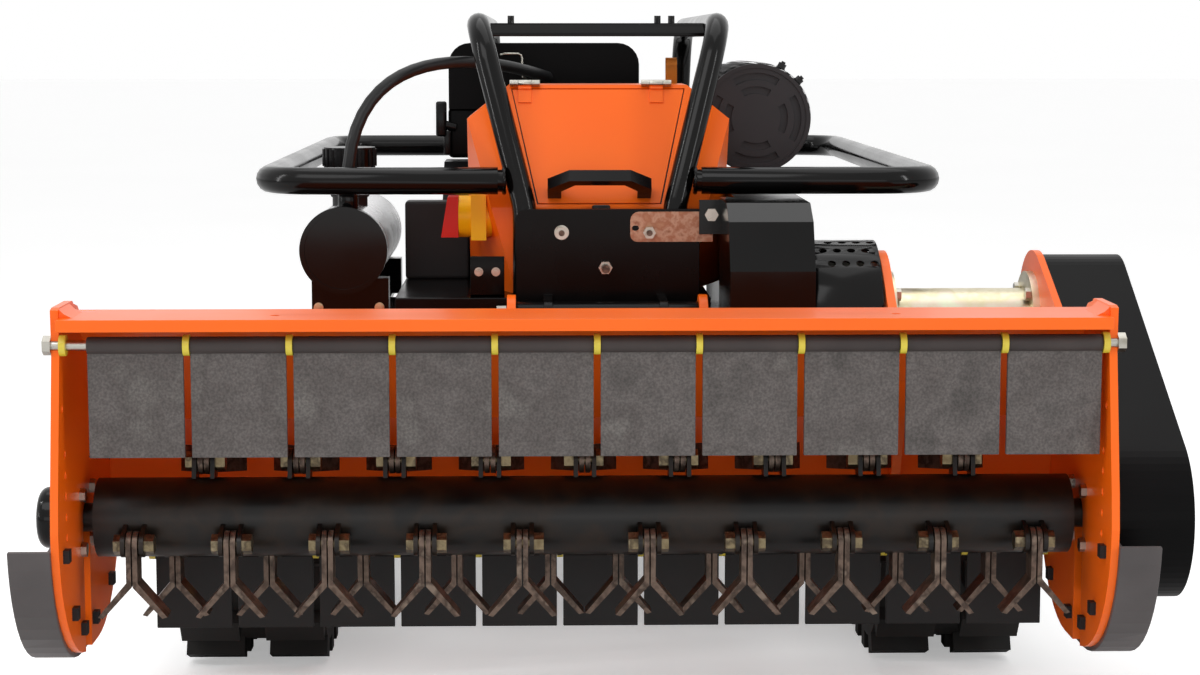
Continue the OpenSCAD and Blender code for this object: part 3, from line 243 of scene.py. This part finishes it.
# Sheet and plate edges are rounded a little, as paint rounds them
softEdges = {"deck_shell": 1.6, "left_side_plate": 1.2, "right_side_plate": 1.2, "front_hood": 1.4,
             "hood_door": 1.0, "front_plate": 1.2, "belt_guard": 1.3, "belt_cover": 2.6, "control_box": 3,
             "engine_cover": 6, "skids": 1, "chassis_frame": 1.5, "rear_flaps": 0.8, "tank_bracket": 1.2,
             "muffler": 2, "guard_frame": 0.8, "side_guard": 0.8}
softEdges.update({name: 0.8 for name in frontFlaps})
edgeFinish = {"weldMm": 0.02, "segments": 2, "sharpest": 38, "tubes": ("guard_frame", "side_guard")}
for name, width in softEdges.items():
    weld = nodes[name].modifiers.new("weld", "WELD")
    weld.merge_threshold = edgeFinish["weldMm"] * mm
    bevel = nodes[name].modifiers.new("edges", "BEVEL")
    bevel.width = width * mm
    bevel.segments = edgeFinish["segments"]
    bevel.limit_method = "ANGLE"
    bevel.angle_limit = math.radians(edgeFinish["sharpest"])
    bevel.harden_normals = name in edgeFinish["tubes"]
    if bevel.harden_normals:
        faces = nodes[name].data.polygons
        faces.foreach_set("use_smooth", [True] * len(faces))
print("nodes painted")

# Hose from the tank to the air cleaner, along the CAD route
hoseRoute = {"start": (-300, -205, 528), "end": (-60, 76, 662), "straight": 6, "rise": 224, "run": 114,
             "steps": 24, "width": 15}
hoseFrom = Vector(hoseRoute["start"]) + Vector((0, 0, hoseRoute["straight"]))
hoseTo = Vector(hoseRoute["end"]) - Vector((0, hoseRoute["straight"], 0))
pulls = (hoseFrom, hoseFrom + Vector((0, 0, hoseRoute["rise"])),
         hoseTo - Vector((0, hoseRoute["run"], 0)), hoseTo)
hosePoints = [hoseRoute["start"]]
for i in range(hoseRoute["steps"] + 1):
    t = i / hoseRoute["steps"]
    weights = ((1 - t) ** 3, 3 * t * (1 - t) ** 2, 3 * t * t * (1 - t), t ** 3)
    hosePoints.append(tuple(sum((w * p for w, p in zip(weights, pulls)), Vector())))
hosePoints.append(hoseRoute["end"])
hosePoints = [(x, y, z + rideHeight) for x, y, z in hosePoints]
curve = bpy.data.curves.new("fuelHose", "CURVE")
curve.dimensions = "3D"
curve.bevel_depth = hoseRoute["width"] / 2 * mm
curve.bevel_resolution = 6
curve.resolution_u = 8
spline = curve.splines.new("POLY")
spline.points.add(len(hosePoints) - 1)
for point, at in zip(spline.points, hosePoints):
    point.co = (at[0] * mm, at[1] * mm, at[2] * mm, 1)
hose = bpy.data.objects.new("fuelHose", curve)
scene.collection.objects.link(hose)
hose.data.materials.append(materials["hoseRubber"])
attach(hose, "chassis")
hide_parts("fuel_hose")
print("hose laid")

shadeBreak = 35  # degrees between faces from which an edge of a small piece looks sharp


def linkPiece(name, shape, look, body):
    bmesh.ops.translate(shape, vec=(0, 0, rideHeight), verts=shape.verts)
    bmesh.ops.scale(shape, vec=(mm, mm, mm), verts=shape.verts)
    bmesh.ops.recalc_face_normals(shape, faces=shape.faces)
    mesh = bpy.data.meshes.new(name)
    shape.to_mesh(mesh)
    shape.free()
    mesh.materials.append(materials[look])
    mesh.polygons.foreach_set("use_smooth", [True] * len(mesh.polygons))
    mesh.set_sharp_from_angle(angle=math.radians(shadeBreak))
    made = bpy.data.objects.new(name, mesh)
    scene.collection.objects.link(made)
    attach(made, body)


def onlyVerts(geometry):
    return [g for g in geometry if isinstance(g, bmesh.types.BMVert)]


def edgesBetween(verts):
    return list({e for v in verts for e in v.link_edges if e.other_vert(v) in verts})


def addRod(shape, start, end, width, sides=20):
    along = Vector(end) - Vector(start)
    middle = Matrix.Translation((Vector(start) + Vector(end)) / 2)
    turn = along.to_track_quat("Z", "Y").to_matrix().to_4x4()
    bmesh.ops.create_cone(shape, cap_ends=True, segments=sides, radius1=width / 2, radius2=width / 2,
                          depth=along.length, matrix=middle @ turn)


def addBox(shape, low, high, rounding):
    size = [b - a for a, b in zip(low, high)]
    middle = Matrix.Translation([(a + b) / 2 for a, b in zip(low, high)])
    made = bmesh.ops.create_cube(shape, size=1, matrix=middle @ Matrix.Diagonal(size + [1]))
    bmesh.ops.bevel(shape, geom=edgesBetween(made["verts"]), offset=rounding, segments=3, affect="EDGES",
                    profile=0.5, material=-1)


def addPrism(shape, corners, along):
    foot = shape.faces.new([shape.verts.new(corner) for corner in corners])
    grown = bmesh.ops.extrude_face_region(shape, geom=[foot])["geom"]
    bmesh.ops.translate(shape, verts=onlyVerts(grown), vec=along)


def addRing(shape, middle, axis, ringR, beadR, lumps=0, around=32, across=10):
    standing = Matrix.Rotation(math.radians(90), 4, "X") @ Matrix.Rotation(math.radians(-90), 4, "Z")
    older = set(shape.verts)
    bead = bmesh.ops.create_circle(shape, segments=across, radius=beadR,
                                   matrix=Matrix.Translation((ringR, 0, 0)) @ standing)["verts"]
    bmesh.ops.spin(shape, geom=bead + edgesBetween(bead), cent=(0, 0, 0), axis=(0, 0, 1), angle=2 * math.pi,
                   steps=around, use_merge=True)
    ring = [v for v in shape.verts if v not in older]
    for v in ring:
        a = math.atan2(v.co.y, v.co.x)
        core = Vector((ringR * math.cos(a), ringR * math.sin(a), 0))
        v.co = core + (v.co - core) * (1 + lumps * math.sin(7 * a + 1) * math.sin(11 * a))
    turn = Vector(axis).to_track_quat("Z", "Y").to_matrix().to_4x4()
    bmesh.ops.transform(shape, matrix=Matrix.Translation(middle) @ turn, verts=ring)


def addWire(shape, points, width, sides=10):
    points = [Vector(p) for p in points]
    headings = [(b - a).normalized() for a, b in zip(points[:1] + points[:-1], points[1:] + points[-1:])]
    side = headings[0].orthogonal()
    turns = []
    for along in headings:
        side = (side - along * side.dot(along)).normalized()
        turns.append(Matrix((side.cross(along), side, along)).transposed())
    end = bmesh.ops.create_circle(shape, cap_ends=True, segments=sides, radius=width / 2,
                                  matrix=Matrix.Translation(points[0]) @ turns[0].to_4x4())["verts"]
    for i in range(1, len(points)):
        end = onlyVerts(bmesh.ops.extrude_edge_only(shape, edges=edgesBetween(end))["geom"])
        bend = turns[i] @ turns[i - 1].transposed()
        for v in end:
            v.co = points[i] + bend @ (v.co - points[i - 1])
    bmesh.ops.edgeloop_fill(shape, edges=edgesBetween(end))


# A bolt's head, its washer and the stud's tip; widths are shares of the head's width across flats
boltForm = {"washer": 1.3, "washerHigh": 1.6, "washerSunk": 0.1, "tip": 0.6, "tipHigh": 2.5}


def hexBolt(shape, at, axis, flats, height):
    at, axis = Vector(at), Vector(axis).normalized()
    top = at + axis * height
    addRod(shape, at, top, flats / math.cos(math.radians(30)), 6)
    addRod(shape, at - axis * boltForm["washerSunk"], at + axis * boltForm["washerHigh"],
           flats * boltForm["washer"], 24)
    addRod(shape, top, top + axis * boltForm["tipHigh"], flats * boltForm["tip"], 16)


# Perforated heat shield over the muffler: a grid with square holes, bent round, and its two clamp screws
muffler = {"x": 201, "z": 612, "shieldR": 70.2, "front": -58, "rear": 176, "from": -30, "to": 150,
           "rows": 36, "columns": 41, "screwAngles": (62, 40), "screwY": -40, "screwFlats": 9, "screwHigh": 7}
shape = bmesh.new()
bmesh.ops.create_grid(shape, x_segments=muffler["columns"], y_segments=muffler["rows"], size=0.5)
holes = []
for face in shape.faces:
    middle = face.calc_center_median()
    column = int((middle.x + 0.5) * muffler["columns"])
    row = int((middle.y + 0.5) * muffler["rows"])
    if column % 2 and row % 2:
        holes.append(face)
bmesh.ops.delete(shape, geom=holes, context="FACES")
for v in shape.verts:
    a = math.radians(muffler["from"] + (muffler["to"] - muffler["from"]) * (v.co.y + 0.5))
    v.co = (muffler["x"] + muffler["shieldR"] * math.cos(a),
            muffler["front"] + (muffler["rear"] - muffler["front"]) * (v.co.x + 0.5),
            muffler["z"] + muffler["shieldR"] * math.sin(a))
bmesh.ops.solidify(shape, geom=shape.faces[:], thickness=0)  # a sheet with two sides and no thickness
linkPiece("mufflerShield", shape, "mufflerPaint", "chassis")
shape = bmesh.new()
for angle in muffler["screwAngles"]:
    out = Vector((math.cos(math.radians(angle)), 0, math.sin(math.radians(angle))))
    at = Vector((muffler["x"], muffler["screwY"], muffler["z"])) + out * muffler["shieldR"]
    hexBolt(shape, at, out, muffler["screwFlats"], muffler["screwHigh"])
linkPiece("shieldScrews", shape, "matBlack", "chassis")

# Ribs on the filler neck and round the cap
filler = {"x": -304, "y": -122, "neckLevels": (520, 528, 536, 544), "neckR": 21.5, "beadR": 2.4, "capRibs": 20,
          "capR": 31, "capFoot": 556, "capHigh": 21, "capRibWidth": 5}
shape = bmesh.new()
for level in filler["neckLevels"]:
    addRing(shape, (filler["x"], filler["y"], level), (0, 0, 1), filler["neckR"], filler["beadR"])
linkPiece("neckRibs", shape, "matBlack", "chassis")
shape = bmesh.new()
for i in range(filler["capRibs"]):
    a = 2 * math.pi * i / filler["capRibs"]
    foot = Vector((filler["x"] + filler["capR"] * math.cos(a), filler["y"] + filler["capR"] * math.sin(a),
                   filler["capFoot"]))
    addRod(shape, foot, foot + Vector((0, 0, filler["capHigh"])), filler["capRibWidth"], 8)
linkPiece("capRibs", shape, "blackPlastic", "filler_cap")

# Choke knob and throttle wire in front of the air cleaner
choke = {"knob": {"low": (-206, 74, 584), "high": (-192, 88, 630), "rounding": 3},
         "stem": {"start": (-198, 81, 600), "end": (-180, 81, 596), "width": 12},
         "mount": {"low": (-196, 76, 560), "high": (-186, 90, 592), "rounding": 2}}
shape = bmesh.new()
addBox(shape, **choke["knob"])
addRod(shape, **choke["stem"])
addBox(shape, **choke["mount"])
linkPiece("chokeKnob", shape, "blackPlastic", "chassis")
throttle = {"width": 3,
            "points": [(-122, 77, 690), (-120, 72, 691), (-116, 70, 692), (-98, 70, 692), (-94, 70, 690),
                       (-93, 70, 686), (-93, 70, 668), (-92, 72, 662), (-88, 77, 660)]}
shape = bmesh.new()
addWire(shape, **throttle)
linkPiece("throttleWire", shape, "zinc", "chassis")

# Duct between the engine's fan housing and its cover
duct = {"low": (-190, 80, 556), "high": (-128, 150, 622), "rounding": 6}
shape = bmesh.new()
addBox(shape, **duct)
linkPiece("fanDuct", shape, "coverPlastic", "chassis")

# Threaded ends in the front plate's nuts
studs = [{"start": (6, -324.5, 446), "end": (6, -306.1, 446), "width": 9.4},
         {"start": (-45, -313, 487), "end": (-45, -308.9, 487), "width": 7},
         {"start": (57, -313, 487), "end": (57, -308.9, 487), "width": 7}]
shape = bmesh.new()
for stud in studs:
    addRod(shape, **stud)
linkPiece("studEnds", shape, "wornSteel", "chassis")

# Loop of strap on the hood's rear edge; the outline is its side view
strap = {"left": 86, "y": -92, "z": 655, "width": 14,
         "outline": [(0, 0), (1, 8), (3, 18), (4, 27), (1, 33), (-3, 32), (-5, 24), (-6, 12), (-5, 0)]}
shape = bmesh.new()
rim = [shape.verts.new((strap["left"], strap["y"] + y, strap["z"] + z)) for y, z in strap["outline"]]
edges = [shape.edges.new(pair) for pair in zip(rim, rim[1:])]
grown = bmesh.ops.extrude_edge_only(shape, edges=edges)["geom"]
bmesh.ops.translate(shape, verts=onlyVerts(grown), vec=(strap["width"], 0, 0))
bmesh.ops.solidify(shape, geom=shape.faces[:], thickness=0)  # two sides and no thickness, as the shield
linkPiece("strapLoop", shape, "strapBrown", "chassis")

# Welds where the guard rail meets the frame
railWeld = {"reach": 112, "y": -274, "z": 546, "ringR": 14, "beadR": 2.4, "lumps": 0.3}
shape = bmesh.new()
for side in (-1, 1):
    addRing(shape, (side * railWeld["reach"], railWeld["y"], railWeld["z"]), (1, 0, 0), railWeld["ringR"],
            railWeld["beadR"], railWeld["lumps"])
linkPiece("railWelds", shape, "blackPaint", "chassis")

# Angle bracket with two bolts beside the front plate
bracket = {"upright": {"low": (-152, -286, 409.9), "high": (-112, -282, 458), "rounding": 1},
           "foot": {"low": (-152, -286, 409.9), "high": (-112, -256, 414), "rounding": 1},
           "boltXs": (-142, -122), "boltY": -286, "boltZ": 440, "flats": 8, "boltHigh": 6}
shape = bmesh.new()
addBox(shape, **bracket["upright"])
addBox(shape, **bracket["foot"])
linkPiece("angleBracket", shape, "blackSheet", "chassis")
shape = bmesh.new()
for x in bracket["boltXs"]:
    hexBolt(shape, (x, bracket["boltY"], bracket["boltZ"]), (0, -1, 0), bracket["flats"], bracket["boltHigh"])
linkPiece("bracketBolts", shape, "zinc", "chassis")

# Seal strips behind the door's two sides, laid along the slope of the hood's panel
panel = {"top": Vector((0, -184, 656)), "along": Vector((0, 0.4446, 0.8957)),
         "out": Vector((0, -0.8957, 0.4446)), "topHalf": 103, "footHalf": 72}
seal = {"start": 6, "length": 154, "inner": 6, "outer": 7, "behind": 3.8, "thick": 2.2}
outline = [(panel["topHalf"] - seal["inner"], seal["start"]),
           (panel["topHalf"] + seal["outer"], seal["start"]),
           (panel["footHalf"] + seal["outer"], seal["length"]),
           (panel["footHalf"] - seal["inner"], seal["length"])]
shape = bmesh.new()
for side in (-1, 1):
    base = panel["top"] - panel["out"] * seal["behind"]
    corners = [base + Vector((side * half, 0, 0)) - panel["along"] * down for half, down in outline]
    addPrism(shape, corners, -panel["out"] * seal["thick"])
linkPiece("doorSeals", shape, "hoseRubber", "chassis")

# Latch at the door's foot
latch = {"low": (-9, -266, 507), "high": (13, -255, 516.5), "rounding": 3}
shape = bmesh.new()
addBox(shape, **latch)
linkPiece("doorLatch", shape, "blackPlastic", "chassis")

# Bolts of the tank's stand
stand = {"boltXs": (-336, -263), "boltY": -216, "boltZ": 391, "flats": 9, "boltHigh": 7}
shape = bmesh.new()
for x in stand["boltXs"]:
    hexBolt(shape, (x, stand["boltY"], stand["boltZ"]), (0, -1, 0), stand["flats"], stand["boltHigh"])
linkPiece("standBolts", shape, "yellowZinc", "chassis")

# Fillets where the beam is welded to the side plates; the outline runs inward and up from each corner
beamWeld = {"corners": ((-542.5, 1), (494.5, -1)), "z": 437.9, "front": -745, "length": 55,
            "outline": ((0, 0), (13, 0), (5, 4), (0, 9))}
shape = bmesh.new()
for x, inward in beamWeld["corners"]:
    corners = [(x + inward * a, beamWeld["front"], beamWeld["z"] + b) for a, b in beamWeld["outline"]]
    addPrism(shape, corners, (0, beamWeld["length"], 0))
linkPiece("beamWelds", shape, "orangePaint", "deck")
print("details placed")

# Floor, in metres: it is lifted towards white for the camera alone and keeps the shadow
ground = {"half": 40, "middleY": 6, "z": -0.0005, "lift": 0.36}
floorMesh = bpy.data.meshes.new("floor")
shape = bmesh.new()
bmesh.ops.create_grid(shape, x_segments=1, y_segments=1, size=ground["half"])
bmesh.ops.translate(shape, verts=shape.verts, vec=(0, ground["middleY"], ground["z"]))
shape.to_mesh(floorMesh)
shape.free()
floor = bpy.data.objects.new("floor", floorMesh)
floor.data.materials.append(materials["floorPaper"])
tree = materials["floorPaper"].node_tree
seen = addNode(tree, "ShaderNodeLightPath").outputs["Is Camera Ray"]
lift = addNode(tree, "ShaderNodeMath", {0: seen, 1: ground["lift"]}, operation="MULTIPLY")
shader = tree.nodes["Principled BSDF"]
shader.inputs["Emission Color"].default_value = (1, 1, 1, 1)
tree.links.new(lift.outputs[0], shader.inputs["Emission Strength"])
scene.collection.objects.link(floor)

lamps = {
    "key": {"at": (-1.2, -2.6, 2.9), "aim": (0, -0.3, 0.35), "size": (2.2, 1.6), "watts": 30},
    "fill": {"at": (2.6, -2.2, 1.6), "aim": (0, -0.2, 0.4), "size": (0.15, 1.8), "watts": 18},
    "leftStrip": {"at": (-2.6, -0.8, 1.3), "aim": (0, -0.2, 0.4), "size": (0.1, 2.0), "watts": 16},
    "top": {"at": (0.2, 0.3, 3.2), "aim": (0, 0.1, 0.4), "size": (3.0, 2.2), "watts": 27},
    "low": {"at": (0, -3.4, 0.5), "aim": (0, -0.6, 0.25), "size": (2.6, 0.6), "watts": 6},
}
for name, lamp in lamps.items():
    light = bpy.data.lights.new(name, "AREA")
    light.shape = "RECTANGLE"
    light.size, light.size_y = lamp["size"]
    light.energy = lamp["watts"]
    made = bpy.data.objects.new(name, light)
    made.location = lamp["at"]
    made.rotation_euler = (Vector(lamp["aim"]) - Vector(lamp["at"])).to_track_quat("-Z", "Y").to_euler()
    scene.collection.objects.link(made)

# The world is plain white where it is seen, in reflections too, and a dimmer white as light
studio = {"light": 0.6, "seen": 1.0}
world = bpy.data.worlds.new("studio")
scene.world = world
world.use_nodes = True
tree = world.node_tree
tree.nodes.clear()
rays = addNode(tree, "ShaderNodeLightPath").outputs
seen = addNode(tree, "ShaderNodeMath", {0: rays["Is Camera Ray"], 1: rays["Is Glossy Ray"]},
               operation="MAXIMUM")
seen = addNode(tree, "ShaderNodeMath", {0: seen.outputs[0], 1: rays["Is Transmission Ray"]},
               operation="MAXIMUM")
soft = addNode(tree, "ShaderNodeBackground", {"Color": (1, 1, 1, 1), "Strength": studio["light"]})
white = addNode(tree, "ShaderNodeBackground", {"Color": (1, 1, 1, 1), "Strength": studio["seen"]})
both = addNode(tree, "ShaderNodeMixShader", {0: seen.outputs[0], 1: soft.outputs[0], 2: white.outputs[0]})
addNode(tree, "ShaderNodeOutputWorld", {"Surface": both.outputs[0]})

view = {"at": (-0.070, -3.144, 0.732), "down": 6.88, "right": 1.404, "lens": 73.44, "sensor": 36}
camera = bpy.data.cameras.new("camera")
camera.lens = view["lens"]
camera.sensor_width = view["sensor"]
eye = bpy.data.objects.new("camera", camera)
eye.location = view["at"]
eye.rotation_euler = (math.radians(90 - view["down"]), 0, math.radians(-view["right"]))
scene.collection.objects.link(eye)
scene.camera = eye
print("stage set")
